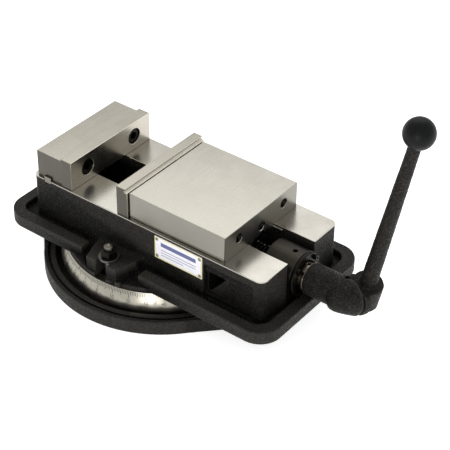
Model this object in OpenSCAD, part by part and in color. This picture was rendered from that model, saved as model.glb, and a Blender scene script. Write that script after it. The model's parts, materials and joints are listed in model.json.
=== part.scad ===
// Milling vise on a graduated swivel base. Units mm, +Z up, origin on the swivel axis at the underside of the base.
// +X runs along the bed towards the crank handle, the name plate is on the -Y side.

/* [Jaws] */
// jaw plate width
jaw_w = 152.4; // [100:0.1:200]
// jaw plate height above the bed
jaw_h = 41.3; // [30:0.1:60]
// jaw plate thickness
plate_t = 17.3; // [10:0.1:30]
// gap between the plates as drawn
jaw_gap = 74.6; // [3:0.1:152]
// length of the fixed jaw block
fixed_l = 41.3; // [25:0.1:70]
// length of the movable jaw block
mov_l = 146.6; // [100:0.1:180]
// half spacing of the jaw plate screws
screw_y = 45; // [30:0.5:60]
// height of the jaw plate screws above the bed
screw_h = 20.7; // [12:0.1:30]
// counterbore diameter of the jaw plate screws
cbore_d = 22; // [16:0.1:28]

/* [Bed] */
// bed width
bed_w = 156; // [120:1:200]
// rear end of the bed
bed_x0 = -150; // [-200:1:-100]
// front end of the bed
bed_x1 = 215; // [150:1:260]
// height of the ground rails above the table
bed_z = 112; // [80:1:150]
// width of the channel between the rails
slot_w = 55; // [40:1:70]
// front face of the fixed jaw plate
fixed_face = -83.9; // [-120:0.1:-60]

/* [Coolant flange] */
// rear end of the flange
fl_x0 = -181; // [-220:1:-160]
// front end of the flange
fl_x1 = 240; // [220:1:280]
// flange width
fl_w = 209; // [170:1:240]
// rim height above the table
rim_z = 59; // [50:0.5:70]
// rim thickness
rim_t = 15.5; // [8:0.5:20]
// corner radius of the flange
fl_r = 30; // [10:1:50]

/* [Swivel base] */
// radius of the foot
foot_r = 154; // [120:1:180]
// height of the foot
foot_h = 20.5; // [12:0.5:30]
// depth of the recess that holds the graduated ring
seat_z = 12; // [6:0.5:16]
// height of the swivel face
base_z = 41; // [30:0.5:55]
// radius of the graduated ring at its top edge
ring_r = 124; // [100:0.5:140]
// half distance between the lug slots
lug_x = 178; // [165:1:220]
// width of the lug slots
lug_slot = 17.5; // [12:0.5:22]
// radius of the T slot
tslot_r = 104; // [80:1:115]

/* [Screw] */
// height of the screw axis
ax_z = 81; // [70:0.5:95]
// screw radius over the thread
scr_r = 14; // [10:0.5:18]
// radius of the bearing housing
hous_r = 30; // [24:0.5:36]

/* [Crank handle] */
// screw axis to joint centre, along X
joint_x = 287.5; // [270:0.5:310]
// angle from the screw axis to the joint axis
joint_a = 68; // [45:1:90]
// lean of the arm from vertical
arm_a = 14.5; // [-15:0.5:75]
// arm axis to ball centre
arm_l = 270; // [200:1:350]
// ball radius
ball_r = 18.4; // [14:0.1:25]

/* [Hidden] */
gap = 0.05;
knuckle_r = 23.4;
knuckle_l = 32;
fix_x0 = fixed_face - plate_t;
fix_xb = fix_x0 - fixed_l;
mov_x0 = fixed_face + jaw_gap;
mov_xb = mov_x0 + plate_t + 1;
mov_xe = mov_xb + mov_l;
plate_z = bed_z + jaw_h;
sz = bed_z + screw_h;
bot = base_z + gap;
floor_z = 50;
hous_x0 = 176;
hous_x1 = 218;
fine = 128;

// ---- shared shapes ----
// rounded rectangle from squares and circles
module rrect(x0, x1, y0, y1, r) {
  translate([x0 + r, y0]) square([x1 - x0 - 2 * r, y1 - y0]);
  translate([x0, y0 + r]) square([x1 - x0, y1 - y0 - 2 * r]);
  for (x = [x0 + r, x1 - r], y = [y0 + r, y1 - r]) translate([x, y]) circle(r = r, $fn = 64);
}

// cylinder along +X from x0 to x1
module xcyl(x0, x1, r, f = 64) {
  translate([x0, 0, 0]) rotate([0, 90, 0]) cylinder(r = r, h = x1 - x0, $fn = f);
}

module ax() {
  translate([0, 0, ax_z]) children();
}

// frame of the handle joint: +Z along the joint axis, +X along the arm's plumb line
module joint() {
  translate([joint_x, 0, ax_z]) rotate([0, 0, joint_a - 90]) rotate([-90, 0, 0]) rotate([0, 0, -90]) children();
}

// frame of the arm: +Z up the arm, origin on the joint axis, 21 mm beyond the joint face
module arm() {
  translate([joint_x, 0, ax_z]) rotate([0, 0, joint_a - 90]) translate([0, 21, 0])
    rotate([0, arm_a, 0]) children();
}

// hexagon socket cap screw, head up, shank down from the origin
module shcs(d, hd, hh, l, af) {
  difference() {
    union() {
      cylinder(d = hd, h = hh, $fn = 48);
      translate([0, 0, -l]) cylinder(d = d, h = l + 0.5, $fn = 48);
    }
    translate([0, 0, hh * 0.45]) cylinder(d = af / cos(30), h = hh, $fn = 6);
  }
}

// ---- swivel base ----
// foot outline: disc with a slotted lug at each end
module foot_outline() {
  a = acos((foot_r - 0.5 - 25.6) / lug_x);
  difference() {
    union() {
      circle(r = foot_r, $fn = 180);
      for (s = [-1, 1]) {
        translate([s * lug_x, 0]) circle(r = 26, $fn = 64);
        polygon([[0, 0], [s * (foot_r - 0.5) * cos(a), (foot_r - 0.5) * sin(a)],
          [s * (lug_x + 25.6 * cos(a)), 25.6 * sin(a)], [s * (lug_x + 25.6 * cos(a)), -25.6 * sin(a)],
          [s * (foot_r - 0.5) * cos(a), -(foot_r - 0.5) * sin(a)]]);
      }
    }
    for (s = [-1, 1]) {
      for (t = [-6, 6]) translate([s * lug_x + t, 0]) circle(d = lug_slot, $fn = 48);
      translate([s * lug_x, 0]) square([12, lug_slot], center = true);
    }
  }
}

module swivel_base() {
  color([0.13, 0.13, 0.13]) difference() {
    linear_extrude(foot_h) foot_outline();
    // seat of the graduated ring, and the thin groove in the rim
    translate([0, 0, seat_z]) cylinder(r = 139, h = 20, $fn = 180);
    rotate_extrude($fn = 180) polygon([[145.5, 17], [149, 17], [149, 25], [145.5, 25]]);
    // centre bore and relief in the underside
    translate([0, 0, -1]) cylinder(r = 22, h = 30, $fn = 96);
    translate([0, 0, -1]) cylinder(r = 78, h = 5, $fn = 128);
  }
}

module graduated_ring() {
  color([0.7, 0.68, 0.64]) difference() {
    rotate_extrude($fn = 180) polygon([[22, seat_z], [ring_r + 7.3, seat_z], [ring_r + 7.3, 24],
      [ring_r, base_z], [22, base_z]]);
    // T slot for the clamping bolts
    rotate_extrude($fn = 180) polygon([[tslot_r - 7.5, base_z + 1], [tslot_r - 7.5, 28], [tslot_r - 13, 28],
      [tslot_r - 13, 14], [tslot_r + 13, 14], [tslot_r + 13, 28], [tslot_r + 7.5, 28],
      [tslot_r + 7.5, base_z + 1]]);
  }
}

// ---- bed casting ----
module trough_inner() {
  rrect(fl_x0 + rim_t, fl_x1 - rim_t - 1, -fl_w / 2 + rim_t, fl_w / 2 - rim_t, 16);
}

// clamping ear on one side, slot open outwards
module ear(s) {
  mirror([0, s < 0 ? 1 : 0, 0]) translate([0, 0, bot]) linear_extrude(65 - bot) difference() {
    polygon([[-38, 70], [-37, 79], [-24, 120.2], [24, 120.2], [35, 79], [36, 70]]);
    translate([0, 104]) circle(r = 9, $fn = 48);
    translate([-9, 104]) square([18, 30]);
  }
}

module chip_window(s) {
  translate([0, s * bed_w / 2, 0]) {
    // hole through to the channel
    rotate([90, 0, 0]) translate([0, 0, -55]) linear_extrude(110)
      polygon([[131, 59], [131, 86], [137, 90.5], [157, 90.5], [157, 86], [137, 62]]);
    // shallow chute beside it
    translate([129, -6, 58]) cube([46, 12, 32]);
  }
}

module vise_body() {
  color([0.12, 0.12, 0.12]) difference() {
    union() {
      translate([0, 0, bot]) cylinder(r = ring_r - 0.6, h = 6, $fn = 180);
      translate([0, 0, bot]) linear_extrude(rim_z - bot) rrect(fl_x0, fl_x1, -fl_w / 2, fl_w / 2, fl_r);
      translate([0, 0, floor_z - 1]) linear_extrude(bed_z - floor_z + 1) rrect(bed_x0, bed_x1, -bed_w / 2, bed_w / 2, 10);
      for (s = [-1, 1]) ear(s);
      for (s = [-1, 1]) translate([26, s * 119, bot + 3.5]) cube([9, 6, 7], center = true);
    }
    // trough around the bed, left open over the ears
    translate([0, 0, floor_z]) linear_extrude(bed_z) difference() {
      trough_inner();
      rrect(bed_x0, bed_x1, -bed_w / 2, bed_w / 2, 10);
      for (s = [-1, 1]) mirror([0, s < 0 ? 1 : 0]) polygon([[-38, 70], [-37, 79], [-34, 90], [32, 90], [35, 79], [36, 70]]);
    }
    for (s = [-1, 1]) mirror([0, s < 0 ? 1 : 0, 0]) translate([0, 0, bot + 6]) linear_extrude(20) difference() {
      polygon([[-46, 89], [46, 89], [46, 108], [-46, 108]]);
      polygon([[-38, 70], [-37, 79], [-24, 120.2], [24, 120.2], [35, 79], [36, 70]]);
    }
    for (s = [-1, 1]) mirror([0, s < 0 ? 1 : 0, 0]) translate([0, 0, bot - 1]) {
      translate([0, 104, 0]) cylinder(r = 9, h = 40, $fn = 48);
      translate([-9, 104, 0]) cube([18, 30, 40]);
    }
    // channel between the rails, open at the front
    translate([-138, -slot_w / 2, 54]) cube([bed_x1 + 139, slot_w, 100]);
    // keyway for the fixed jaw
    translate([-130, -100, bed_z - 4.5]) cube([11, 200, 20]);
    // underside relief and centre bore
    translate([0, 0, bot - 1]) cylinder(r = 86, h = 5, $fn = 128);
    translate([0, 0, bot - 1]) cylinder(r = 20, h = 12, $fn = 96);
    translate([132, -80, bot - 1]) cube([88, 160, 6]);
    // chip windows and the step beside the name plate
    for (s = [-1, 1]) chip_window(s);
    for (s = [-1, 1]) translate([128.5, s * (bed_w / 2 + 1.2) - (s > 0 ? 3.7 : 0), floor_z]) cube([72, 3.7, 50]);
    // bolt holes from below: fixed jaw and bearing housing
    for (s = [-1, 1]) translate([-110, s * 62, bot - 1]) {
      cylinder(d = 13, h = 90, $fn = 48);
      cylinder(d = 20, h = 36, $fn = 48);
    }
    for (x = [180, 208]) translate([x, 0, bot - 1]) {
      cylinder(d = 9, h = 30, $fn = 48);
      cylinder(d = 15, h = 9, $fn = 48);
    }
    // rivet holes behind the name plate
    for (x = [56.5, 122.5], z = [80, 104.8]) translate([x, -bed_w / 2 - 1, z]) rotate([-90, 0, 0])
      cylinder(d = 2.4, h = 9, $fn = 24);
  }
}

module swivel_pin() {
  color([0.7, 0.7, 0.7]) translate([0, 0, 20]) {
    cylinder(r = 21.95, h = base_z - 20 + gap / 2, $fn = 96);
    cylinder(r = 19.98, h = 31, $fn = 96);
  }
}

module t_bolts() {
  color([0.25, 0.25, 0.26]) for (s = [-1, 1]) translate([0, s * tslot_r, 0]) {
    translate([0, 0, 18]) cylinder(d = 24, h = 9.8, $fn = 48);
    translate([0, 0, 20]) cylinder(d = 12, h = 61, $fn = 48);
    intersection() {
      translate([0, 0, 80]) cylinder(d = 12, h = 6, $fn = 48);
      translate([0, 0, 76.5]) sphere(r = 8.5, $fn = 48);
    }
  }
}

module t_bolt_washers() {
  color([0.3, 0.3, 0.31]) for (s = [-1, 1]) translate([0, s * tslot_r, 65]) difference() {
    cylinder(d = 27, h = 3, $fn = 64);
    translate([0, 0, -1]) cylinder(d = 13, h = 5, $fn = 48);
  }
}

module t_bolt_nuts() {
  color([0.2, 0.2, 0.2]) for (s = [-1, 1]) translate([0, s * tslot_r, 68]) difference() {
    intersection() {
      rotate([0, 0, 10]) cylinder(d = 19 / cos(30), h = 10.5, $fn = 6);
      cylinder(r1 = 20, r2 = 9.9, h = 10.5, $fn = 64);
    }
    translate([0, 0, -1]) cylinder(d = 12, h = 13, $fn = 48);
  }
}

module name_plate() {
  color([0.85, 0.84, 0.8]) difference() {
    translate([53, -bed_w / 2 - 0.9, 76.4]) cube([73, 0.9, 32]);
    for (x = [56.5, 122.5], z = [80, 104.8]) translate([x, -bed_w / 2 - 2, z]) rotate([-90, 0, 0])
      cylinder(d = 2.4, h = 4, $fn = 24);
  }
}

module name_plate_rivets() {
  color([0.6, 0.6, 0.58]) for (x = [56.5, 122.5], z = [80, 104.8]) translate([x, -bed_w / 2 - 0.9, z])
    rotate([90, 0, 0]) {
      intersection() {
        cylinder(d = 4.6, h = 1.3, $fn = 32);
        translate([0, 0, -1.6]) sphere(r = 2.9, $fn = 32);
      }
      translate([0, 0, -7]) cylinder(d = 2.4, h = 7.2, $fn = 24);
    }
}

// ---- fixed jaw ----
module fixed_jaw() {
  color([0.62, 0.6, 0.56]) difference() {
    translate([fix_xb, -75, bed_z]) cube([fixed_l, 150, plate_z - bed_z - 3.5]);
    translate([-130, -80, bed_z - 1]) cube([11, 160, 5.5]);
    for (s = [-1, 1]) translate([-110, s * 62, bed_z - 1]) cylinder(d = 12, h = 22, $fn = 48);
    for (s = [-1, 1]) translate([0, s * screw_y, sz]) xcyl(fix_x0 - 30, fix_x0 + 1, 6);
  }
}

module fixed_jaw_key() {
  color([0.45, 0.44, 0.42]) translate([-130, -bed_w / 2 + 0.5, bed_z - 4.5]) cube([11, bed_w - 1, 9]);
}

module fixed_jaw_bolts() {
  color([0.2, 0.2, 0.2]) for (s = [-1, 1]) translate([-110, s * 62, bot + 35]) rotate([180, 0, 0])
    shcs(12, 18, 12, 55, 10);
}

module jaw_plate(x0, cham) {
  difference() {
    translate([x0, -jaw_w / 2, bed_z + 0.1]) cube([plate_t, jaw_w, jaw_h - 0.1]);
    if (cham) translate([x0 + plate_t, 0, plate_z]) rotate([0, 32, 0]) cube([5, jaw_w + 2, 12], center = true);
    children();
  }
}

module fixed_jaw_plate() {
  color([0.66, 0.65, 0.6]) jaw_plate(fix_x0, false)
    for (s = [-1, 1]) translate([0, s * screw_y, sz]) {
      xcyl(fix_x0 - 1, fixed_face + 1, 6.6);
      xcyl(fixed_face - 13, fixed_face + 1, cbore_d / 2);
    }
}

module fixed_plate_screws() {
  color([0.15, 0.15, 0.15]) for (s = [-1, 1]) translate([fixed_face - 13, s * screw_y, sz])
    rotate([0, 90, 0]) shcs(12, 19, 11.4, 30, 10);
}

// ---- bearing housing and its parts ----
module bearing_housing() {
  color([0.55, 0.54, 0.5]) difference() {
    intersection() {
      union() {
        ax() xcyl(hous_x0, hous_x1, hous_r, 96);
        translate([hous_x0, -35, 50]) cube([hous_x1 - hous_x0, 70, ax_z - 48]);
      }
      translate([hous_x0 - 1, -slot_w / 2 + 0.1, 54.05]) cube([hous_x1 - hous_x0 + 2, slot_w - 0.2, 70]);
    }
    ax() xcyl(hous_x0 - 1, 197, 17);
    ax() xcyl(196, hous_x1 + 1, 22);
    translate([206, 0, ax_z + 10]) cylinder(d = 6, h = 30, $fn = 32);
    for (x = [180, 208]) translate([x, 0, 50]) cylinder(d = 8, h = 7.6, $fn = 32);
    ax() for (a = [45:90:359]) rotate([a, 0, 0]) translate([0, 25.4, 0]) xcyl(207, hous_x1 + 1, 2, 24);
  }
}

module housing_bolts() {
  color([0.2, 0.2, 0.2]) for (x = [180, 208]) translate([x, 0, bot + 8]) rotate([180, 0, 0])
    shcs(8, 13, 7.5, 8.5, 6);
}

module bearing_bush() {
  color([0.6, 0.45, 0.2]) ax() difference() {
    xcyl(hous_x0, 196, 17);
    xcyl(hous_x0 - 1, 197, 13.05);
  }
}

module thrust_washers() {
  color([0.6, 0.45, 0.2]) ax() for (x = [196, 207.6]) difference() {
    xcyl(x, x + 3, 21.9);
    xcyl(x - 1, x + 4, 13.6);
  }
}

module retainer_flange() {
  color([0.14, 0.14, 0.14]) ax() difference() {
    union() {
      xcyl(210.6, hous_x1 + 1, 21.95);
      xcyl(hous_x1, hous_x1 + 4.5, 29.5);
    }
    xcyl(200, 240, 13.06);
    for (a = [45:90:359]) rotate([a, 0, 0]) translate([0, 25.4, 0]) xcyl(200, 240, 2.2, 24);
  }
}

module retainer_screws() {
  color([0.4, 0.4, 0.4]) ax() for (a = [45:90:359]) rotate([a, 0, 0]) translate([hous_x1 + 4.5, 25.4, 0])
    rotate([0, 90, 0]) shcs(4, 7, 4, 14, 3);
}

// ---- screw ----
module lead_screw() {
  color([0.55, 0.54, 0.5]) ax() {
    xcyl(-72, hous_x0 - 4, scr_r, 96);
    xcyl(hous_x0 - 5, 231, 13, 96);
    xcyl(199.1, 207.5, 20.5, 96);
    translate([230, 0, 0]) rotate([0, 90, 0]) cylinder(d = 19 / cos(30), h = 32, $fn = 6);
  }
}

module screw_collar() {
  color([0.75, 0.74, 0.7]) ax() difference() {
    xcyl(hous_x1 + 4.6, 230.4, 20, 96);
    xcyl(200, 240, 13, 96);
    translate([226.6, 0, 12]) cylinder(d = 4, h = 12, $fn = 24);
  }
}

module collar_set_screw() {
  color([0.15, 0.15, 0.15]) ax() translate([226.6, 0, 13]) difference() {
    cylinder(d = 4, h = 5.2, $fn = 24);
    translate([0, 0, 3]) cylinder(d = 2 / cos(30), h = 4, $fn = 6);
  }
}

// ---- movable jaw ----
module movable_jaw() {
  color([0.62, 0.6, 0.56]) difference() {
    union() {
      translate([mov_xb, -73.2, bed_z + gap]) cube([mov_l, 146.4, plate_z - bed_z - 5.1]);
      translate([mov_xb + 4, -27.35, bed_z - 11]) cube([mov_l - 4, 54.7, 14]);
      for (s = [-1, 1]) mirror([0, s < 0 ? 1 : 0, 0]) translate([mov_xe - 6, 24.4, bed_z - 8]) cube([19, 2.95, 6]);
    }
    // arch that passes over the bearing housing
    ax() xcyl(mov_xe - 72, mov_xe + 1, 32.5, 96);
    // pocket for the nut post and the half ball
    translate([37, -16, bed_z - 15]) cube([41, 32, 35]);
    // shallow relief along both bottom edges
    for (s = [-1, 1]) translate([mov_xb + 6, s * 71.6 - 5, bed_z - 1]) cube([mov_l - 12, 10, 1.6]);
    for (s = [-1, 1]) translate([0, s * screw_y, sz]) {
      xcyl(mov_xb - 1, mov_xb + 40, 6);
      xcyl(mov_xe - 25, mov_xe + 1, 6.3);
    }
    translate([0, 0, bed_z + 12]) xcyl(70, mov_xe + 1, 5.8);
  }
}

module movable_jaw_plate() {
  color([0.66, 0.65, 0.6]) jaw_plate(mov_x0, true)
    for (s = [-1, 1]) translate([0, s * screw_y, sz]) {
      xcyl(mov_x0 - 1, mov_x0 + plate_t + 1, 6.6);
      xcyl(mov_x0 - 1, mov_x0 + 13, cbore_d / 2);
    }
}

module movable_plate_screws() {
  color([0.15, 0.15, 0.15]) for (s = [-1, 1]) translate([mov_x0 + 13, s * screw_y, sz])
    rotate([0, -90, 0]) shcs(12, 19, 11.4, 28, 10);
}

// slanted face of the nut post, facing forward and down
module lock_face() {
  translate([38, 0, bed_z + 18]) rotate([0, -40, 0]) children();
}

module jaw_nut() {
  color([0.5, 0.48, 0.42]) difference() {
    union() {
      translate([20, -24, 60]) cube([60, 48, bed_z - 12 - 60]);
      translate([38, -13, 95]) cube([36, 26, bed_z + 18 - 95]);
    }
    lock_face() translate([-60, -20, -60]) cube([60, 40, 70]);
    ax() xcyl(0, 90, scr_r + 0.05, 96);
  }
}

module half_ball() {
  color([0.6, 0.6, 0.6]) lock_face() translate([0, 0, -15.66]) difference() {
    sphere(r = 10.9, $fn = 64);
    translate([-0.1, -15, -15]) cube([20, 30, 30]);
  }
}

module jaw_set_screw() {
  color([0.15, 0.15, 0.15]) translate([0, 0, bed_z + 12]) difference() {
    xcyl(74.2, 98, 5.8, 48);
    translate([88, 0, 0]) rotate([0, 90, 0]) cylinder(d = 6 / cos(30), h = 14, $fn = 6);
  }
}

// ---- crank handle ----
// radius of the rounded knuckle at a share of its length back from the joint face
function knuckle_at(t) = knuckle_r * pow(1 - pow(t, 0.88), 0.42);

module handle_hub() {
  color([0.2, 0.19, 0.17]) difference() {
    union() {
      ax() xcyl(231, joint_x - 8, 20.5);
      joint() intersection() {
        rotate([-11, 0, 0]) rotate_extrude($fn = 64) polygon(concat([[0, 12], [knuckle_r + 0.5, 12]],
          [for (i = [0:9]) [knuckle_at(i / 10), -knuckle_l * i / 10]], [[0, -knuckle_l]]));
        translate([0, 0, -60]) cylinder(r = knuckle_r, h = 60, $fn = 64);
      }
    }
    // room for the block's disc beside the socket
    joint() cylinder(r = 26.5, h = 40, $fn = 64);
    translate([230, 0, ax_z]) rotate([0, 90, 0]) cylinder(d = 19.4 / cos(30), h = 34, $fn = 6);
    joint() translate([0, 0, -22]) cylinder(r = 6, h = 30, $fn = 32);
  }
}

module handle_pivot() {
  color([0.3, 0.3, 0.3]) joint() {
    translate([0, 0, -22]) cylinder(r = 6, h = 32, $fn = 32);
    cylinder(r = 15, h = 4.4, $fn = 48);
  }
}

module handle_block() {
  color([0.2, 0.19, 0.17]) difference() {
    union() {
      joint() translate([0, 0, 4.5]) cylinder(r = 25.2, h = 8, $fn = 64);
      intersection() {
        arm() translate([0, 0, -30]) cylinder(r = 19, h = 47, $fn = 64);
        joint() translate([0, 0, 4.5]) cylinder(r = 25.2, h = 60, $fn = 64);
      }
      intersection() {
        arm() cylinder(r = 19, h = 17, $fn = 64);
        joint() translate([0, 0, 4.5]) cylinder(r = 40, h = 60, $fn = 64);
      }
    }
    joint() translate([0, 0, 3]) cylinder(r = 6.05, h = 12, $fn = 32);
    arm() translate([0, 0, 2]) cylinder(r = 9, h = 20, $fn = 48);
    arm() translate([-60, -60, 17]) cube([120, 120, 40]);
  }
}

module handle_rod() {
  color([0.2, 0.19, 0.17]) arm() {
    translate([0, 0, 2]) cylinder(r = 9, h = 16, $fn = 48);
    translate([0, 0, 17]) cylinder(r1 = 10.5, r2 = 7.5, h = arm_l - 17 - 16.3, $fn = 64);
    translate([0, 0, arm_l - 17]) cylinder(r = 5, h = 15, $fn = 48);
  }
}

module handle_ball() {
  color([0.06, 0.06, 0.06]) arm() translate([0, 0, arm_l]) difference() {
    intersection() {
      sphere(r = ball_r, $fn = 96);
      translate([0, 0, 3]) cube([50, 50, 2 * ball_r + 1.6], center = true);
    }
    translate([0, 0, -17.2]) cylinder(r = 5, h = 15.4, $fn = 48);
  }
}

swivel_base();
graduated_ring();
vise_body();
swivel_pin();
t_bolts();
t_bolt_washers();
t_bolt_nuts();
name_plate();
name_plate_rivets();
fixed_jaw();
fixed_jaw_key();
fixed_jaw_bolts();
fixed_jaw_plate();
fixed_plate_screws();
bearing_housing();
housing_bolts();
bearing_bush();
thrust_washers();
retainer_flange();
retainer_screws();
lead_screw();
screw_collar();
collar_set_screw();
movable_jaw();
movable_jaw_plate();
movable_plate_screws();
jaw_nut();
half_ball();
jaw_set_screw();
handle_hub();
handle_pivot();
handle_block();
handle_rod();
handle_ball();
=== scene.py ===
"""Milling vise on a graduated swivel base: cast bed with a coolant trough, ground jaws, lead screw and crank
handle. Lengths are in metres; a size given in millimetres is multiplied by MM."""
import json
import math

import bmesh
import bpy
from mathutils import Matrix, Vector, noise


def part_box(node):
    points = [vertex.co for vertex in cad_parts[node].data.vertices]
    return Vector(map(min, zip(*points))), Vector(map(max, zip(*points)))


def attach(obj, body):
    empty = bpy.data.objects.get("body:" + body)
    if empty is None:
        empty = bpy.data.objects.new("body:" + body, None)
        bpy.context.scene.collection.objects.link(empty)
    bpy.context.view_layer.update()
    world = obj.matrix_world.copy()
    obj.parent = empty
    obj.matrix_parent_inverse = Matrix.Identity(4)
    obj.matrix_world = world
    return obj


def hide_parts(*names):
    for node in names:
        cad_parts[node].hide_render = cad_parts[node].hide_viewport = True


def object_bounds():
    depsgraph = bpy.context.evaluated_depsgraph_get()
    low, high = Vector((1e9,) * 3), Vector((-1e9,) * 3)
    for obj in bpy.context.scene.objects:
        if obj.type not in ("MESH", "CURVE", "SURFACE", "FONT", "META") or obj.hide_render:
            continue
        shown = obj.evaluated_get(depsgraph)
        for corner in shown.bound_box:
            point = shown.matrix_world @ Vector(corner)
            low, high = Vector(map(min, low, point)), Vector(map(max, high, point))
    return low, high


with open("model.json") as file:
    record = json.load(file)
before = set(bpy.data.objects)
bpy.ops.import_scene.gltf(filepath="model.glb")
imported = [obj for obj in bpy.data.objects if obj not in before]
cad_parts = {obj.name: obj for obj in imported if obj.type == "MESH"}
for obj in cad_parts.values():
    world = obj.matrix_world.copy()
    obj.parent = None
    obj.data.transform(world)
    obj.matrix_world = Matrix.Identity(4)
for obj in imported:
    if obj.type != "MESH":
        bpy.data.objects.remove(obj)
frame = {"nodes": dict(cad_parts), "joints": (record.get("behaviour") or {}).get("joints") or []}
cad_low, cad_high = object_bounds()
NODES = frame["nodes"]
MM = 0.001
WELD = 2e-6  # corners closer than this are one corner

# ---------------------------------------------------------------- sizes read from the frame
screw_axis_z = sum(c.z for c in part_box("lead_screw")) / 2
rail_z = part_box("fixed_jaw_plate")[0].z - 0.1 * MM
plate_low, plate_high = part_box("name_plate")
elbow = next(j for j in frame["joints"] if j["name"] == "arm_swivel")
elbow_axis = Vector(elbow["axis"]).normalized()
elbow_at = Vector(elbow["pos_m"])
ball_low, ball_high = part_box("handle_ball")
ball_radius = (ball_high.x - ball_low.x) / 2
ball_centre = Vector(((ball_low.x + ball_high.x) / 2, (ball_low.y + ball_high.y) / 2,
                      ball_high.z - ball_radius))
BLOCK_MIDDLE = 21 * MM  # from the elbow's centre to the arm, along the elbow's axis
arm_foot = elbow_at + elbow_axis * BLOCK_MIDDLE
arm_way = (ball_centre - arm_foot).normalized()


# ---------------------------------------------------------------- small tools
def linear(hex_colour):
    """sRGB hex to a linear RGBA colour."""
    parts = [int(hex_colour[i:i + 2], 16) / 255 for i in (1, 3, 5)]
    return [c / 12.92 if c <= 0.04045 else ((c + 0.055) / 1.055) ** 2.4 for c in parts] + [1.0]


def add(tree, kind, inputs=None, **settings):
    """One node with its settings. inputs maps a socket's name or number to a value or another node's output."""
    made = tree.nodes.new(kind)
    for key, value in settings.items():
        setattr(made, key, value)
    for key, value in (inputs or {}).items():
        if isinstance(value, bpy.types.NodeSocket):
            tree.links.new(value, made.inputs[key])
        else:
            made.inputs[key].default_value = value
    return made


def plain_mesh(obj, name):
    """The evaluated object as a plain mesh object with no modifiers; the source object is removed."""
    bpy.context.view_layer.update()
    graph = bpy.context.evaluated_depsgraph_get()
    mesh = bpy.data.meshes.new_from_object(obj.evaluated_get(graph), preserve_all_data_layers=True,
                                           depsgraph=graph)
    bpy.data.objects.remove(obj)
    mesh.name = name
    made = bpy.data.objects.new(name, mesh)
    bpy.context.scene.collection.objects.link(made)
    return made


def from_bmesh(bm, name):
    """A mesh object made from bm, which is freed."""
    mesh = bpy.data.meshes.new(name)
    bm.to_mesh(mesh)
    bm.free()
    made = bpy.data.objects.new(name, mesh)
    bpy.context.scene.collection.objects.link(made)
    return made


WINDOW_X, WINDOW_Y, WINDOW_Z = ((low * MM, high * MM) for low, high in ((126, 178), (60, 82), (56, 96)))


def beside_window(p):
    """True near the chip windows in both sides of the bed, where the lands are narrow."""
    return (WINDOW_X[0] < p.x < WINDOW_X[1] and WINDOW_Y[0] < abs(p.y) < WINDOW_Y[1]
            and WINDOW_Z[0] < p.z < WINDOW_Z[1])


def merged_copy(node, name):
    """A CAD node's triangles as one welded shell, with its flat faces joined up again away from the windows."""
    bm = bmesh.new()
    bm.from_mesh(NODES[node].data)
    bmesh.ops.remove_doubles(bm, verts=bm.verts, dist=WELD)
    bmesh.ops.dissolve_degenerate(bm, edges=bm.edges, dist=WELD)
    clear_corners = [v for v in bm.verts if not beside_window(v.co)]
    clear_edges = [e for e in bm.edges if not any(beside_window(v.co) for v in e.verts)]
    bmesh.ops.dissolve_limit(bm, angle_limit=math.radians(0.6), verts=clear_corners, edges=clear_edges)
    return from_bmesh(bm, name)


def softened(node, name, width, segments=2, angle=38, weight=None):
    """A welded copy of a CAD node, its edges rounded to that width. weight(point) scales the width by place."""
    obj = merged_copy(node, name)
    mesh = obj.data
    if weight:
        bm = bmesh.new()
        bm.from_mesh(mesh)
        layer = bm.edges.layers.float.new("bevel_weight_edge")
        for edge in bm.edges:
            if len(edge.link_faces) == 2 and edge.calc_face_angle(0) > math.radians(angle):
                edge[layer] = weight((edge.verts[0].co + edge.verts[1].co) / 2)
        bm.to_mesh(mesh)
        bm.free()
    bevel = obj.modifiers.new("edges", "BEVEL")
    bevel.width, bevel.segments = width, segments
    bevel.limit_method = "WEIGHT" if weight else "ANGLE"
    bevel.angle_limit = math.radians(angle)
    bevel.use_clamp_overlap = False
    bevel.miter_outer = "MITER_ARC"
    smooth(obj)
    return plain_mesh(obj, name)


def smooth(obj, angle=60):
    """Smooth shading, with edges sharper than the angle kept and flat faces kept flat."""
    obj.data.polygons.foreach_set("use_smooth", [True] * len(obj.data.polygons))
    obj.data.set_sharp_from_angle(angle=math.radians(angle))
    normals = obj.modifiers.new("normals", "WEIGHTED_NORMAL")
    normals.keep_sharp = True
    normals.weight = 80


def dress(obj, finish):
    """Gives the whole piece one finish."""
    obj.data.materials.clear()
    obj.data.materials.append(finish)


def ride_for(obj, body, slot, *nodes):
    """The piece moves with that body and stands for those CAD nodes, which are hidden. slot is not used."""
    if nodes:
        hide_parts(*nodes)
    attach(obj, body)


# ---------------------------------------------------------------- finishes
PAINT_GLOSS = 0.14  # specular level of thin matt paint that has soaked into a rough casting


def start_finish(name):
    """An empty material, its tree, and the object's own coordinates in it."""
    m = bpy.data.materials.new(name)
    m.use_nodes = True
    t = m.node_tree
    t.nodes.clear()
    place = add(t, "ShaderNodeTexCoord").outputs["Object"]
    return m, t, place


def end_finish(t, shader):
    add(t, "ShaderNodeOutputMaterial", {"Surface": shader.outputs[0]})


LINE_LENGTH = 40  # a grinding or turning line is this many times as long as wide


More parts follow.
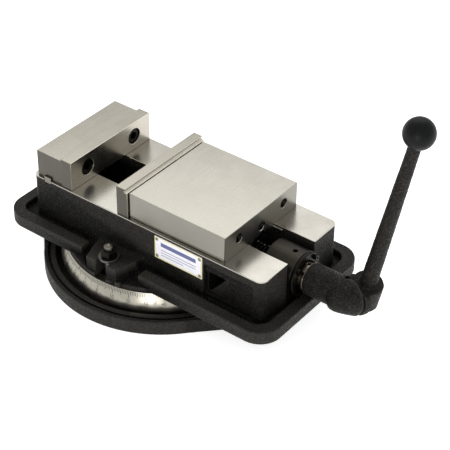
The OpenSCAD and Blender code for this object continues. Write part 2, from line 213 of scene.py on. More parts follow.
def steel(name, light, dark, rough, lines_mm, along, sheen_mm=28, side=1.0, end=1.0, edge=0.0, corner=0.0,
          side_rough=0.0, bump=0.05):
    """Machined steel. lines_mm is the width of the grinding or turning lines, and along the axis they follow.
    Real lines are finer, under 0.1 mm, and are drawn as coarse as they need to show. side and end scale the
    colour of faces across Y and across X as painted shade and painted light by facing. edge paints a highlight
    on the chamfers along the top, corner paints a shadow line down the upright ones, and side_rough adds to the
    roughness of upright faces."""
    m, t, place = start_finish(name)
    stretch = [1 / (lines_mm * MM)] * 3
    stretch[along] = 1 / (lines_mm * LINE_LENGTH * MM)
    lined = add(t, "ShaderNodeMapping", {"Vector": place, "Scale": stretch})
    lines = add(t, "ShaderNodeTexNoise", {"Vector": lined.outputs[0], "Scale": 1.0, "Detail": 2.0,
                                          "Roughness": 0.6})
    cloud = add(t, "ShaderNodeTexNoise", {"Vector": place, "Scale": 1 / (sheen_mm * MM), "Detail": 3.0,
                                          "Roughness": 0.5})
    both = add(t, "ShaderNodeMix", {"Factor": 0.5, 2: lines.outputs["Fac"], 3: cloud.outputs["Fac"]},
               data_type="FLOAT")
    tone = add(t, "ShaderNodeMapRange", {"Value": both.outputs[0], "From Min": 0.3, "From Max": 0.7})
    colour = add(t, "ShaderNodeMix", {"Factor": tone.outputs[0], 6: linear(dark), 7: linear(light)},
                 data_type="RGBA")
    # The squared normal says how much a face looks along each axis. From it the colour gets painted shade and
    # painted light by facing, a painted highlight on top chamfers and a painted shadow line on upright corners.
    facing = add(t, "ShaderNodeTexCoord").outputs["Normal"]
    squared = add(t, "ShaderNodeVectorMath", {0: facing, 1: facing}, operation="MULTIPLY").outputs[0]
    flat = add(t, "ShaderNodeVectorMath", {0: squared, 1: (end, side, 1.0)}, operation="DOT_PRODUCT")
    share_x, share_y, share_z = add(t, "ShaderNodeSeparateXYZ", {0: squared}).outputs
    rest = add(t, "ShaderNodeMath", {0: 1.0, 1: share_z}, operation="SUBTRACT").outputs[0]
    rim = add(t, "ShaderNodeMath", {0: share_z, 1: rest}, operation="MULTIPLY").outputs[0]
    lit = add(t, "ShaderNodeMath", {0: rim, 1: 4 * edge, 2: flat.outputs["Value"]}, operation="MULTIPLY_ADD")
    upright = add(t, "ShaderNodeMath", {0: share_x, 1: share_y}, operation="MULTIPLY").outputs[0]
    shade = add(t, "ShaderNodeMath", {0: upright, 1: -4 * corner, 2: lit.outputs[0]},
                operation="MULTIPLY_ADD").outputs[0]
    shaded = add(t, "ShaderNodeVectorMath", {0: colour.outputs[2], "Scale": shade}, operation="SCALE")
    grain = add(t, "ShaderNodeMapRange", {"Value": both.outputs[0], "From Min": 0.3, "From Max": 0.7,
                                          "To Min": rough * 0.85, "To Max": rough * 1.15})
    roughness = add(t, "ShaderNodeMath", {0: rest, 1: side_rough, 2: grain.outputs[0]}, operation="MULTIPLY_ADD")
    relief = add(t, "ShaderNodeBump", {"Height": lines.outputs["Fac"], "Strength": bump, "Distance": 0.1 * MM})
    shader = add(t, "ShaderNodeBsdfPrincipled", {"Base Color": shaded.outputs[0], "Metallic": 1.0,
                                                 "Roughness": roughness.outputs[0],
                                                 "Normal": relief.outputs[0]})
    end_finish(t, shader)
    return m


def wrinkled(t, place, dark, light, grain_mm, rough, depth_mm):
    """Colour, roughness and relief of a paint over a sand casting. A real mould's grain is about 0.5 mm and is
    drawn as coarse as it needs to show. Raised grain is painted lighter, partly as the paint's own speckle and
    partly as painted glints where the pitted skin catches the light. Outer corners are painted grey, unevenly,
    partly as rubbed wear and partly as a painted highlight along edges that catch the light."""
    grain = add(t, "ShaderNodeTexNoise", {"Vector": place, "Scale": 1 / (grain_mm * MM), "Detail": 3.0,
                                          "Roughness": 0.62})
    pits = add(t, "ShaderNodeTexVoronoi", {"Vector": place, "Scale": 1 / (grain_mm * 1.3 * MM)}, feature="F1")
    sand = add(t, "ShaderNodeTexNoise", {"Vector": place, "Scale": 1 / (grain_mm * 5 * MM), "Detail": 2.0})
    fine = add(t, "ShaderNodeMath", {0: grain.outputs["Fac"], 1: pits.outputs["Distance"]}, operation="ADD")
    height = add(t, "ShaderNodeMath", {0: sand.outputs["Fac"], 1: 0.4, 2: fine.outputs[0]},
                 operation="MULTIPLY_ADD")
    # Raised grain painted lighter: partly speckle, partly painted glints.
    tone = add(t, "ShaderNodeMapRange", {"Value": height.outputs[0], "From Min": 1.12, "From Max": 1.55})
    skin = add(t, "ShaderNodeMix", {"Factor": tone.outputs[0], 6: linear(dark), 7: linear(light)},
               data_type="RGBA")
    # Convex edges painted grey: partly rubbed wear, partly a painted highlight.
    edge = add(t, "ShaderNodeMapRange", {"Value": add(t, "ShaderNodeNewGeometry").outputs["Pointiness"],
                                         "From Min": 0.51, "From Max": 0.6, "To Max": 0.45})
    tone_shift = add(t, "ShaderNodeMath", {0: edge.outputs[0], 1: grain.outputs["Fac"]}, operation="MULTIPLY")
    colour = add(t, "ShaderNodeMix", {"Factor": tone_shift.outputs[0], 6: skin.outputs[2], 7: linear("#77736a")},
                 data_type="RGBA")
    gloss = add(t, "ShaderNodeMapRange", {"Value": tone.outputs[0], "To Min": rough + 0.12,
                                          "To Max": rough - 0.08})
    relief = add(t, "ShaderNodeBump", {"Height": height.outputs[0], "Strength": 0.9, "Distance": depth_mm * MM})
    return colour.outputs[2], gloss.outputs[0], relief.outputs[0]


def casting_paint(name, dark, light, grain_mm, rough, depth_mm):
    """Casting painted all over."""
    m, t, place = start_finish(name)
    colour, gloss, relief = wrinkled(t, place, dark, light, grain_mm, rough, depth_mm)
    shader = add(t, "ShaderNodeBsdfPrincipled", {"Base Color": colour, "Roughness": gloss, "Normal": relief,
                                                 "IOR": 1.5, "Specular IOR Level": PAINT_GLOSS})
    end_finish(t, shader)
    return m


def painted_with_ground_tops(name, dark, light, grain_mm, rough, depth_mm, bare, bare_dark, bare_rough,
                             mask):
    """Painted casting with bare ground faces where mask(tree, place) is 1."""
    m, t, place = start_finish(name)
    colour, gloss, relief = wrinkled(t, place, dark, light, grain_mm, rough, depth_mm)
    metal = mask(t, place)
    cloud = add(t, "ShaderNodeTexNoise", {"Vector": place, "Scale": 1 / (30 * MM), "Detail": 3.0})
    tone = add(t, "ShaderNodeMapRange", {"Value": cloud.outputs["Fac"], "From Min": 0.3, "From Max": 0.7})
    steel_colour = add(t, "ShaderNodeMix", {"Factor": tone.outputs[0], 6: linear(bare_dark), 7: linear(bare)},
                       data_type="RGBA")
    mixed = add(t, "ShaderNodeMix", {"Factor": metal, 6: colour, 7: steel_colour.outputs[2]}, data_type="RGBA")
    rough_mix = add(t, "ShaderNodeMix", {"Factor": metal, 2: gloss, 3: bare_rough}, data_type="FLOAT")
    flat = add(t, "ShaderNodeNewGeometry").outputs["Normal"]
    normal = add(t, "ShaderNodeMix", {"Factor": metal, 4: relief, 5: flat}, data_type="VECTOR")
    shader = add(t, "ShaderNodeBsdfPrincipled", {"Base Color": mixed.outputs[2], "Metallic": metal,
                                                 "Roughness": rough_mix.outputs[0], "Normal": normal.outputs[1],
                                                 "Specular IOR Level": PAINT_GLOSS})
    end_finish(t, shader)
    return m


def above(height):
    """Mask that is 1 above that height."""
    def mask(t, place):
        z = add(t, "ShaderNodeSeparateXYZ", {0: place}).outputs["Z"]
        return add(t, "ShaderNodeMath", {0: z, 1: height}, operation="GREATER_THAN").outputs[0]
    return mask


# Cast iron under black wrinkle enamel: matt, with a pitted skin that throws small points of light. Its raised
# grain is painted lighter, partly as the paint's own speckle and partly as painted glints, and its corners are
# painted grey as wear and as a painted highlight. The bed's rails are ground bare and give a satin gleam.
BED_PAINT = painted_with_ground_tops("black_wrinkle_enamel_with_ground_rails", "#020202", "#1c1a17", 1.5, 0.52,
                                     0.6, "#b2afa7", "#a6a299", 0.25, above(rail_z - 1.1 * MM))
BASE_PAINT = casting_paint("black_wrinkle_enamel", "#020202", "#1c1a17", 1.5, 0.52, 0.6)
# Cast iron under thin black paint on the crank: brown-black, half matt, over the sand mould's grain.
CRANK_PAINT = casting_paint("black_painted_rough_casting", "#0a0907", "#26221c", 1.5, 0.52, 0.4)
# Ground tool steel: a satin face with faint grinding lines. On the jaw blocks and jaw plates, faces across Y are
# painted darker, and faces across X are painted darker on the blocks and lighter on the plates, as painted shade
# and painted light by facing. Top chamfers get a painted highlight, and the sliding jaw's upright corners get a
# painted shadow line.
FIXED_STEEL = steel("ground_tool_steel_painted_shading", "#a39f95", "#979388", 0.25, 0.9, 1, side=0.26, end=0.9, edge=0.5,
                    side_rough=0.08)
SLIDE_STEEL = steel("ground_sliding_jaw_steel_painted_shading", "#aca9a0", "#a19d93", 0.25, 0.9, 1, side=0.64, end=0.66,
                    edge=0.35, corner=0.9, side_rough=0.08)
PLATE_STEEL = steel("hardened_ground_plate_steel_painted_shading", "#a39f95", "#979387", 0.24, 0.9, 1, side=0.24, end=1.45,
                    edge=0.5, side_rough=0.05)
# Milled steel left as cut: greyer and duller than ground steel.
KEY_STEEL = steel("milled_key_steel", "#7d7870", "#6d6860", 0.34, 0.9, 1)
# Steel handled and oiled over the years: a dull grey.
STUD_STEEL = steel("dull_clamp_stud_steel", "#7c7870", "#67635b", 0.4, 0.6, 1)
# Turned steel band: satin, with a soft cloudy sheen.
RING_STEEL = steel("turned_ring_steel", "#a5a196", "#949084", 0.3, 0.5, 2, sheen_mm=40)
# Turned steel, browned by oil.
COLLAR_STEEL = steel("turned_collar_steel", "#665f54", "#4d473e", 0.22, 0.6, 1)
# Oiled steel in the bed: slick and near black, partly from oil and partly as painted shade for the dark slot it
# lies in.
SHADED_OILED_STEEL = steel("oiled_screw_steel_painted_shade", "#191714", "#0e0d0b", 0.36, 0.8, 1)
# Rough turned steel under a film of oil: dark grey with lines that catch the light.
HOUSING_STEEL = steel("dull_housing_steel", "#3f3c36", "#2b2925", 0.42, 0.8, 0, bump=0.25)
# Black oxide on steel: near black with a soft metal gleam.
BLACK_OXIDE = steel("black_oxide_steel", "#24231f", "#151411", 0.36, 0.6, 0)
# Punched steel rubbed bright again where the nut turns.
WASHER_STEEL = steel("black_washer_steel", "#6f6d68", "#54524c", 0.38, 0.6, 0)
# Turned bearing bronze: warm and satin.
BRONZE = steel("turned_bronze", "#b0813f", "#94682e", 0.3, 0.6, 1)


def phenolic(name):
    """Moulded phenolic: black, half gloss, with a faint orange-peel."""
    m, t, place = start_finish(name)
    peel = add(t, "ShaderNodeTexNoise", {"Vector": place, "Scale": 1 / (4 * MM), "Detail": 2.0})
    tone = add(t, "ShaderNodeMix", {"Factor": peel.outputs["Fac"], 6: linear("#060707"), 7: linear("#121313")},
               data_type="RGBA")
    relief = add(t, "ShaderNodeBump", {"Height": peel.outputs["Fac"], "Strength": 0.15, "Distance": 0.2 * MM})
    shader = add(t, "ShaderNodeBsdfPrincipled", {"Base Color": tone.outputs[2], "Roughness": 0.42, "IOR": 1.5,
                                                 "Specular IOR Level": 0.12, "Normal": relief.outputs[0]})
    end_finish(t, shader)
    return m


BALL_BLACK = phenolic("moulded_black_phenolic")


def ink(name, colour, rough=0.5):
    """Printed or filled colour with slight unevenness."""
    m, t, place = start_finish(name)
    cloud = add(t, "ShaderNodeTexNoise", {"Vector": place, "Scale": 1 / (3 * MM), "Detail": 2.0})
    base = linear(colour)
    tone_shift = [c * 0.82 for c in base[:3]] + [1.0]
    tone = add(t, "ShaderNodeMix", {"Factor": cloud.outputs["Fac"], 6: base, 7: tone_shift}, data_type="RGBA")
    shader = add(t, "ShaderNodeBsdfPrincipled", {"Base Color": tone.outputs[2], "Roughness": rough})
    end_finish(t, shader)
    return m


# Black filler in engraved lines, matt.
MARK_BLACK = ink("filled_black_marks", "#1a1814", 0.6)
# Baked enamel on the thin plate, half matt, in the white ground and the three printed tones.
PLATE_WHITE = ink("printed_white_enamel", "#eceaf2", 0.4)
PLATE_CREAM = ink("printed_cream_border", "#e6dfb4", 0.4)
PLATE_GREY = ink("printed_grey_rules", "#9f9eb0", 0.4)
PLATE_SLATE = ink("printed_slate_band", "#5d6690", 0.4)
# Aluminium rivets, dulled.
RIVET_ALLOY = steel("aluminium_rivet_alloy", "#8f8a7c", "#736e60", 0.4, 0.6, 0)


# ---------------------------------------------------------------- pieces
GROUND_DEPTH = 6 * MM  # below the rails' tops, where the edges are still machined
MACHINED_RADIUS = 150 * MM  # the swivel base is machined inside this radius


def bed_edges(p):
    """Share of the full rounding at a point: ground rails and the lands beside the chip windows keep less."""
    return 0.3 if p.z > rail_z - GROUND_DEPTH or beside_window(p) else 1.0


def base_edges(p):
    """Share of the full rounding at a point: the machined middle keeps less."""
    return 0.25 if Vector((p.x, p.y)).length < MACHINED_RADIUS else 1.0


bed = softened("vise_body", "bed_casting", 1.4 * MM, weight=bed_edges)
dress(bed, BED_PAINT)
ride_for(bed, "vise", "bed_casting", "vise_body")

base = softened("swivel_base", "swivel_casting", 1.6 * MM, weight=base_edges)
dress(base, BASE_PAINT)
ride_for(base, "base", "swivel_casting", "swivel_base")

# CAD node, name of its softened copy, body, slot, edge rounding in mm, finish
for node, name, body, slot, width, finish in (
        ("graduated_ring", "turned_ring", "base", "ring_steel", 0.4, RING_STEEL),
        ("fixed_jaw", "fixed_jaw_block", "vise", "fixed_jaw_steel", 0.5, FIXED_STEEL),
        ("fixed_jaw_plate", "fixed_plate", "vise", "fixed_plate_steel", 0.6, PLATE_STEEL),
        ("movable_jaw", "movable_jaw_block", "jaw", "movable_jaw_steel", 0.7, SLIDE_STEEL),
        ("movable_jaw_plate", "movable_plate", "jaw", "movable_plate_steel", 0.6, PLATE_STEEL),
        ("fixed_jaw_key", "jaw_key", "vise", "key_steel", 0.4, KEY_STEEL),
        ("screw_collar", "collar", "screw", "collar_steel", 0.8, COLLAR_STEEL),
        ("retainer_flange", "retainer_ring", "vise", "flange_black", 0.8, BLACK_OXIDE),
        ("bearing_housing", "housing", "vise", "housing_steel", 0.5, HOUSING_STEEL),
        ("t_bolts", "clamp_studs", "vise", "bolt_black", 0.5, STUD_STEEL),
        ("t_bolt_nuts", "clamp_nuts", "vise", "nut_black", 0.4, BLACK_OXIDE),
        ("t_bolt_washers", "clamp_washers", "vise", "washer_black", 0.4, WASHER_STEEL),
        ("fixed_plate_screws", "fixed_cap_screws", "vise", "cap_screw_black", 0.5, BLACK_OXIDE),
        ("movable_plate_screws", "movable_cap_screws", "jaw", "cap_screw_black_2", 0.5, BLACK_OXIDE)):
    piece = softened(node, name, width * MM)
    dress(piece, finish)
    ride_for(piece, body, slot, node)

# These are shown as the CAD holds them.
for node, finish in {"swivel_pin": KEY_STEEL, "name_plate": PLATE_WHITE, "name_plate_rivets": RIVET_ALLOY,
                     "fixed_jaw_bolts": BLACK_OXIDE, "housing_bolts": BLACK_OXIDE, "bearing_bush": BRONZE,
                     "thrust_washers": BRONZE, "retainer_screws": BLACK_OXIDE, "collar_set_screw": BLACK_OXIDE,
                     "jaw_nut": SHADED_OILED_STEEL, "half_ball": KEY_STEEL, "jaw_set_screw": BLACK_OXIDE}.items():
    for used in NODES[node].material_slots:
        used.material = finish


# ---- rough-cast crank: the sand mould leaves soft corners and a lumpy skin
def rough_cast(name, nodes, fillers, voxel, rounds, lump_mm, lump_size_mm):
    """CAD nodes and filler cones (low end, high end, radius at each) run together into one casting, its corners
    rounded by smoothing rounds and its skin made uneven by lumps of that height and size."""
    bm = bmesh.new()
    for node in nodes:
        bm.from_mesh(NODES[node].data)
    bmesh.ops.remove_doubles(bm, verts=bm.verts, dist=WELD)
    for low, high, radius_low, radius_high in fillers:
        way = high - low
        turn = way.to_track_quat("Z", "Y").to_matrix().to_4x4()
        bmesh.ops.create_cone(bm, cap_ends=True, segments=48, radius1=radius_low, radius2=radius_high,
                              depth=way.length, matrix=Matrix.Translation((low + high) / 2) @ turn)
    obj = from_bmesh(bm, name)
    remesh = obj.modifiers.new("skin", "REMESH")
    remesh.mode, remesh.voxel_size = "VOXEL", voxel
    soften = obj.modifiers.new("soften", "SMOOTH")
    soften.factor, soften.iterations = 0.5, rounds
    obj = plain_mesh(obj, name)
    skin = [(vertex.co.copy(), vertex.normal.copy()) for vertex in obj.data.vertices]
    for vertex, (point, outward) in zip(obj.data.vertices, skin):
        lump = noise.fractal(point / (lump_size_mm * MM), 0.9, 2.0, 3)
        vertex.co = point + outward * lump * lump_mm * MM
    obj.data.polygons.foreach_set("use_smooth", [True] * len(obj.data.polygons))
    return obj


LUMP_MM, LUMP_SIZE_MM = 0.22, 7.0
hub = rough_cast("crank_hub", ["handle_hub"], [], 0.9 * MM, 6, LUMP_MM, LUMP_SIZE_MM)
dress(hub, CRANK_PAINT)
ride_for(hub, "hub", "hub_cast", "handle_hub")

# The rod's foot is thickened where it runs into the block.
ROD_FOOT = (arm_foot + arm_way * 6 * MM, arm_foot + arm_way * 18 * MM, 10.9 * MM, 10.9 * MM)
arm = rough_cast("crank_arm", ["handle_block", "handle_rod"], [ROD_FOOT], 1.0 * MM, 3, LUMP_MM, LUMP_SIZE_MM)
dress(arm, CRANK_PAINT)
ride_for(arm, "arm", "block_cast", "handle_block", "handle_rod")


def turned(name, profile, foot, way, steps=96):
    """A closed shell turned from (radius, height) points about an axis from foot along way."""
    bm = bmesh.new()
    turns = [2 * math.pi * i / steps for i in range(steps)]
    rings = [[bm.verts.new((r * math.cos(a), r * math.sin(a), z)) for a in turns] for r, z in profile]
    for lower, upper in zip(rings, rings[1:]):
        for i in range(steps):
            j = (i + 1) % steps
            bm.faces.new((lower[i], lower[j], upper[j], upper[i]))
    bm.faces.new(list(reversed(rings[0])))
    bm.faces.new(rings[-1])
    bmesh.ops.recalc_face_normals(bm, faces=bm.faces)
    bm.transform(Matrix.Translation(foot) @ way.to_track_quat("Z", "Y").to_matrix().to_4x4())
    obj = from_bmesh(bm, name)
    smooth(obj, 40)
    return plain_mesh(obj, name)


# The washer between the elbow's two halves, seen as a thin rib in the joint.
# Radius and height along the elbow's axis, in mm, with the pin on both sides of it.
WASHER_FORM = ((6, -21.9), (6, 0.5), (20.8, 0.5), (21.6, 1.2), (21.6, 3.6), (20.8, 4.3), (6, 4.3), (6, 9.9),
               (3, 9.9))
washer = turned("elbow_washer", [(r * MM, z * MM) for r, z in WASHER_FORM], elbow_at, elbow_axis)
dress(washer, CRANK_PAINT)
ride_for(washer, "hub", "pivot_steel", "handle_pivot")

# Ball with the flat where the arm enters and the fine ridge of the mould's parting line.
NECK = 8.6 * MM
MOULD_RIDGE = 0.12 * MM
BALL_STEPS = 56
below = math.acos(NECK / ball_radius)
around = [-below + (math.pi / 2 + below) * i / BALL_STEPS for i in range(BALL_STEPS)]
profile = [(ball_radius * math.cos(a), ball_radius * math.sin(a)) for a in around]
ridge = min(range(len(profile)), key=lambda i: abs(profile[i][1]))
profile[ridge] = (profile[ridge][0] + MOULD_RIDGE, profile[ridge][1])
profile.append((0.2 * MM, ball_radius))
ball = turned("handle_knob", [(6 * MM, profile[0][1] - 0.2 * MM)] + profile, ball_centre, arm_way)
dress(ball, BALL_BLACK)
ride_for(ball, "arm", "ball_black", "handle_ball")


# ---- lead screw: the thread is a left-hand ridge of 6 mm pitch wound round the core
def new_tree(name, inputs):
    """A geometry node group with one float input for each name; returns it with its inputs' sockets."""
    tree = bpy.data.node_groups.new(name, "GeometryNodeTree")
    for label in inputs:
        tree.interface.new_socket(label, in_out="INPUT", socket_type="NodeSocketFloat")
    tree.interface.new_socket("Geometry", in_out="OUTPUT", socket_type="NodeSocketGeometry")
    return tree, add(tree, "NodeGroupInput").outputs


def grown(name, tree, material, result, values):
    """The tree's result as a plain mesh object; values sets each input by its socket's identifier."""
    done = add(tree, "GeometryNodeSetMaterial",
               {"Geometry": add(tree, "GeometryNodeRealizeInstances", {"Geometry": result}).outputs[0]})
    done.inputs["Material"].default_value = material
    add(tree, "NodeGroupOutput", {"Geometry": done.outputs[0]})
    obj = from_bmesh(bmesh.new(), name)
    maker = obj.modifiers.new("maker", "NODES")
    maker.node_group = tree
    for item in tree.interface.items_tree:
        if item.in_out == "INPUT":
            maker[item.identifier] = float(values[item.name])
    return plain_mesh(obj, name)


screw = merged_copy("lead_screw", "screw_blank")
THREAD_PITCH, THREAD_TOP, THREAD_ROOT = 6 * MM, 14 * MM, 11.6 * MM
THREAD_TO, JOURNAL_FROM = 170 * MM, 173 * MM
thread_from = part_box("lead_screw")[0].x + 3 * MM
# The blank is turned down to the thread's root.
for vertex in screw.data.vertices:
    out = Vector((0, vertex.co.y, vertex.co.z - screw_axis_z))
    if out.length > THREAD_TOP - 0.05 * MM and vertex.co.x < JOURNAL_FROM:
        vertex.co -= out.normalized() * (out.length - THREAD_ROOT)
values = {"Pitch": THREAD_PITCH, "Turns": (THREAD_TO - thread_from) / THREAD_PITCH, "Start": thread_from,
          "Axis height": screw_axis_z, "Root radius": THREAD_ROOT, "Depth": THREAD_TOP - THREAD_ROOT}
tree, given = new_tree("wound_thread", values)
length = add(tree, "ShaderNodeMath", {0: given["Pitch"], 1: given["Turns"]}, operation="MULTIPLY").outputs[0]
helix = add(tree, "GeometryNodeCurveSpiral", {"Resolution": 40, "Rotations": given["Turns"], "Height": length,
                                              "Start Radius": given["Root radius"],
                                              "End Radius": given["Root radius"], "Reverse": True})
laid = add(tree, "ShaderNodeCombineXYZ", {0: given["Start"], 2: given["Axis height"]})
helix = add(tree, "GeometryNodeTransform", {"Geometry": helix.outputs[0], "Translation": laid.outputs[0],
                                            "Rotation": (0, math.pi / 2, 0)})
ridge_form = add(tree, "GeometryNodeCurvePrimitiveQuadrilateral", {"Offset": 0.0}, mode="TRAPEZOID")
for label, share in (("Bottom Width", 0.62), ("Top Width", 0.36)):
    width = add(tree, "ShaderNodeMath", {0: given["Pitch"], 1: share}, operation="MULTIPLY").outputs[0]
    tree.links.new(width, ridge_form.inputs[label])
tall = add(tree, "ShaderNodeMath", {0: given["Depth"], 1: 2.0}, operation="MULTIPLY").outputs[0]
tree.links.new(tall, ridge_form.inputs["Height"])
turned_form = add(tree, "GeometryNodeTransform", {"Geometry": ridge_form.outputs[0],
                                                  "Rotation": (0, 0, math.pi / 2)})
wound = add(tree, "GeometryNodeCurveToMesh", {"Curve": helix.outputs[0],
                                              "Profile Curve": turned_form.outputs[0], "Fill Caps": True})
thread = grown("screw_thread", tree, SHADED_OILED_STEEL, wound.outputs[0], values)
smooth(screw, 35)
screw = plain_mesh(screw, "screw_core")
dress(screw, SHADED_OILED_STEEL)
ride_for(screw, "screw", "screw_steel", "lead_screw")
ride_for(thread, "screw", "screw_steel")

# ---- graduations on the ring's sloping band: a mark each degree, longer at 5 and at 10
BAND_LOW, BAND_HIGH = Vector((131.3, 0, 24)) * MM, Vector((124.0, 0, 41)) * MM
BAND_WAY = (BAND_HIGH - BAND_LOW).normalized()
BAND_TILT = math.atan2(BAND_WAY.z, -BAND_WAY.x)


def on_band(angle, up, proud):
    """A point on the band at that angle, up from its lower edge and proud of its surface."""
    normal = Vector((BAND_WAY.z, 0, -BAND_WAY.x))
    point = BAND_LOW + BAND_WAY * up + normal * proud
    return Matrix.Rotation(angle, 3, "Z") @ point


values = {"Width": 0.62 * MM, "Short": 4.6 * MM, "Middle": 6.8 * MM, "Long": 9.0 * MM, "Thickness": 0.1 * MM}
tree, given = new_tree("degree_marks", values)
top_mark = BAND_HIGH - BAND_WAY * 0.9 * MM
dial = add(tree, "GeometryNodeMeshCircle", {"Vertices": 360, "Radius": top_mark.x})
dial = add(tree, "GeometryNodeTransform", {"Geometry": dial.outputs[0], "Translation": (0, 0, top_mark.z)})
index = add(tree, "GeometryNodeInputIndex").outputs[0]
turn = add(tree, "ShaderNodeMath", {0: index, 1: math.radians(1), 2: math.pi / 2}, operation="MULTIPLY_ADD")
facing = add(tree, "ShaderNodeCombineXYZ", {0: BAND_TILT, 2: turn.outputs[0]})
reach = given["Short"]
for step, label in ((5, "Middle"), (10, "Long")):
    left = add(tree, "ShaderNodeMath", {0: index, 1: float(step)}, operation="MODULO").outputs[0]
    hit = add(tree, "ShaderNodeMath", {0: left, 1: 0.5}, operation="LESS_THAN").outputs[0]
    reach = add(tree, "ShaderNodeMix", {"Factor": hit, 2: reach, 3: given[label]}, data_type="FLOAT").outputs[0]
size = add(tree, "ShaderNodeCombineXYZ", {0: given["Width"], 1: reach, 2: given["Thickness"]})
mark = add(tree, "GeometryNodeMeshCube", {"Size": (1, 1, 1)})
mark = add(tree, "GeometryNodeTransform", {"Geometry": mark.outputs[0], "Translation": (0, -0.5, 0)})
marks = add(tree, "GeometryNodeInstanceOnPoints", {"Points": dial.outputs[0], "Instance": mark.outputs[0],
                                                   "Rotation": facing.outputs[0], "Scale": size.outputs[0]})
marks = grown("degree_marks", tree, MARK_BLACK, marks.outputs[0], values)
ride_for(marks, "base", "ring_steel")

# ---- dial numbers every 10 degrees, 0 to 90 and back, below the marks
NUMBER_SIZE, NUMBER_UP, NUMBER_PROUD = 6.2 * MM, 3.0 * MM, 0.06 * MM
numerals = bmesh.new()
for turned_by in range(0, 360, 10):
    text = bpy.data.curves.new("numeral", "FONT")
    degrees = turned_by % 180
    text.body = str(degrees if degrees <= 90 else 180 - degrees)
    text.size, text.align_x, text.resolution_u = NUMBER_SIZE, "CENTER", 3
    flat = plain_mesh(bpy.data.objects.new("numeral", text), "numeral")
    for vertex in flat.data.vertices:
        around_ring = math.radians(turned_by - 90) + vertex.co.x / BAND_LOW.x
        vertex.co = on_band(around_ring, NUMBER_UP + vertex.co.y, NUMBER_PROUD)
    numerals.from_mesh(flat.data)
    bpy.data.objects.remove(flat)
numerals = from_bmesh(numerals, "ring_numerals")
dress(numerals, MARK_BLACK)
ride_for(numerals, "base", "ring_steel")

# ---- print on the name plate: border, a plain band and rules
# Left, bottom, right and top as shares of the plate, and the ink.
PRINT = ((0.0, 0.0, 1.0, 0.06, PLATE_CREAM), (0.0, 0.94, 1.0, 1.0, PLATE_CREAM),
         (0.0, 0.06, 0.03, 0.94, PLATE_CREAM), (0.97, 0.06, 1.0, 0.94, PLATE_CREAM),
         (0.13, 0.62, 0.87, 0.8, PLATE_SLATE), (0.13, 0.44, 0.87, 0.475, PLATE_GREY),
         (0.13, 0.32, 0.87, 0.355, PLATE_GREY), (0.13, 0.2, 0.6, 0.235, PLATE_GREY))
INK_THICKNESS = 0.08 * MM
finishes = [PLATE_CREAM, PLATE_SLATE, PLATE_GREY]
print_mesh = bmesh.new()
span_x, span_z = plate_high.x - plate_low.x, plate_high.z - plate_low.z
for left, bottom, right, top, finish in PRINT:
    size = Vector(((right - left) * span_x, INK_THICKNESS, (top - bottom) * span_z))
    middle = Vector((plate_low.x + (left + right) / 2 * span_x, plate_low.y - INK_THICKNESS / 2,
                     plate_low.z + (bottom + top) / 2 * span_z))
    made = bmesh.ops.create_cube(print_mesh, size=1,
                                 matrix=Matrix.Translation(middle) @ Matrix.Diagonal((*size, 1)))
    for face in {f for v in made["verts"] for f in v.link_faces}:
        face.material_index = finishes.index(finish)
plate_print = from_bmesh(print_mesh, "plate_print")
for finish in finishes:
    plate_print.data.materials.append(finish)
ride_for(plate_print, "vise", "plate_enamel")

# ---------------------------------------------------------------- floor, light and camera
FLOOR_SIDE, FLOOR_GLOW, SKY_STRENGTH = 30.0, 0.7, 0.83
floor_mesh = bpy.data.meshes.new("floor")
half = FLOOR_SIDE / 2
floor_mesh.from_pydata([(-half, -half, 0), (half, -half, 0), (half, half, 0), (-half, half, 0)], [],
                       [(0, 1, 2, 3)])
floor = bpy.data.objects.new("floor", floor_mesh)
bpy.context.scene.collection.objects.link(floor)
# Seamless white paper, lit from below so that it stays white.
floor_finish = bpy.data.materials.new("pale_floor")
floor_finish.use_nodes = True
paper = floor_finish.node_tree.nodes["Principled BSDF"].inputs
for socket, value in (("Base Color", linear("#f3f3f3")), ("Roughness", 0.9), ("Specular IOR Level", 0.1),
                      ("Emission Color", (1, 1, 1, 1)), ("Emission Strength", FLOOR_GLOW)):
    paper[socket].default_value = value
floor_mesh.materials.append(floor_finish)
floor.location.z = cad_low.z

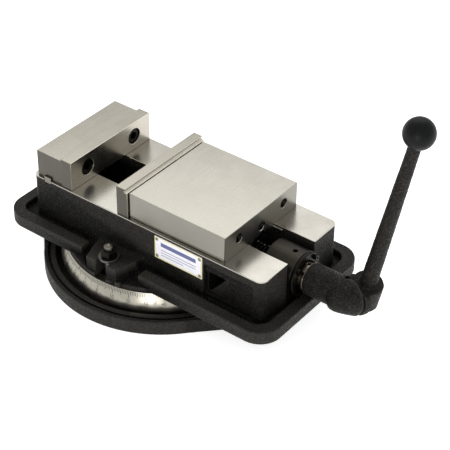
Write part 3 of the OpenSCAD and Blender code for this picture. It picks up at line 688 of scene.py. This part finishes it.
world = bpy.data.worlds.new("studio")
bpy.context.scene.world = world
world.use_nodes = True
world.node_tree.nodes["Background"].inputs["Color"].default_value = (1, 1, 1, 1)
world.node_tree.nodes["Background"].inputs["Strength"].default_value = SKY_STRENGTH


LIT_POINT = Vector((0.05, 0, 0.1))


def panel(name, direction, distance, size, watts):
    """A soft light that looks at the vise from that direction and distance."""
    light = bpy.data.lights.new(name, "AREA")
    light.shape, light.size, light.size_y, light.energy = "RECTANGLE", size[0], size[1], watts
    obj = bpy.data.objects.new(name, light)
    bpy.context.scene.collection.objects.link(obj)
    way = Vector(direction).normalized()
    obj.location = LIT_POINT + way * distance
    obj.rotation_mode = "QUATERNION"
    obj.rotation_quaternion = way.to_track_quat("Z", "Y")


panel("back_panel", (-0.30, 0.66, 1.02), 2.4, (2.2, 1.6), 17)
panel("front_panel", (0.42, -0.90, 0.17), 2.6, (0.7, 0.6), 15)

scene = bpy.context.scene
scene.view_settings.view_transform = "Standard"

AZIMUTH, ELEVATION, ROLL = (math.radians(a) for a in (37.172, 36.63, 0.765))
LOOK_AT = Vector((71.843, 31.798, 70.0)) * MM
DISTANCE = 1868.45 * MM
LENS_MM, SENSOR_MM = 117.789, 36
SHIFT_X, SHIFT_Y = 0.005933, -0.002262
back = Vector((math.sin(AZIMUTH) * math.cos(ELEVATION), -math.cos(AZIMUTH) * math.cos(ELEVATION),
               math.sin(ELEVATION)))
level = Vector((math.cos(AZIMUTH), math.sin(AZIMUTH), 0))
upright = back.cross(level)
right = math.cos(ROLL) * level + math.sin(ROLL) * upright
up = math.cos(ROLL) * upright - math.sin(ROLL) * level
camera_data = bpy.data.cameras.new("camera")
camera_data.sensor_width = SENSOR_MM
camera_data.lens = LENS_MM
camera_data.shift_x, camera_data.shift_y = SHIFT_X, SHIFT_Y
camera_data.clip_start, camera_data.clip_end = 0.05, 60
camera = bpy.data.objects.new("camera", camera_data)
scene.collection.objects.link(camera)
turned_to = Matrix((right, up, back)).transposed().to_4x4()
camera.matrix_world = Matrix.Translation(LOOK_AT + back * DISTANCE) @ turned_to
scene.camera = camera
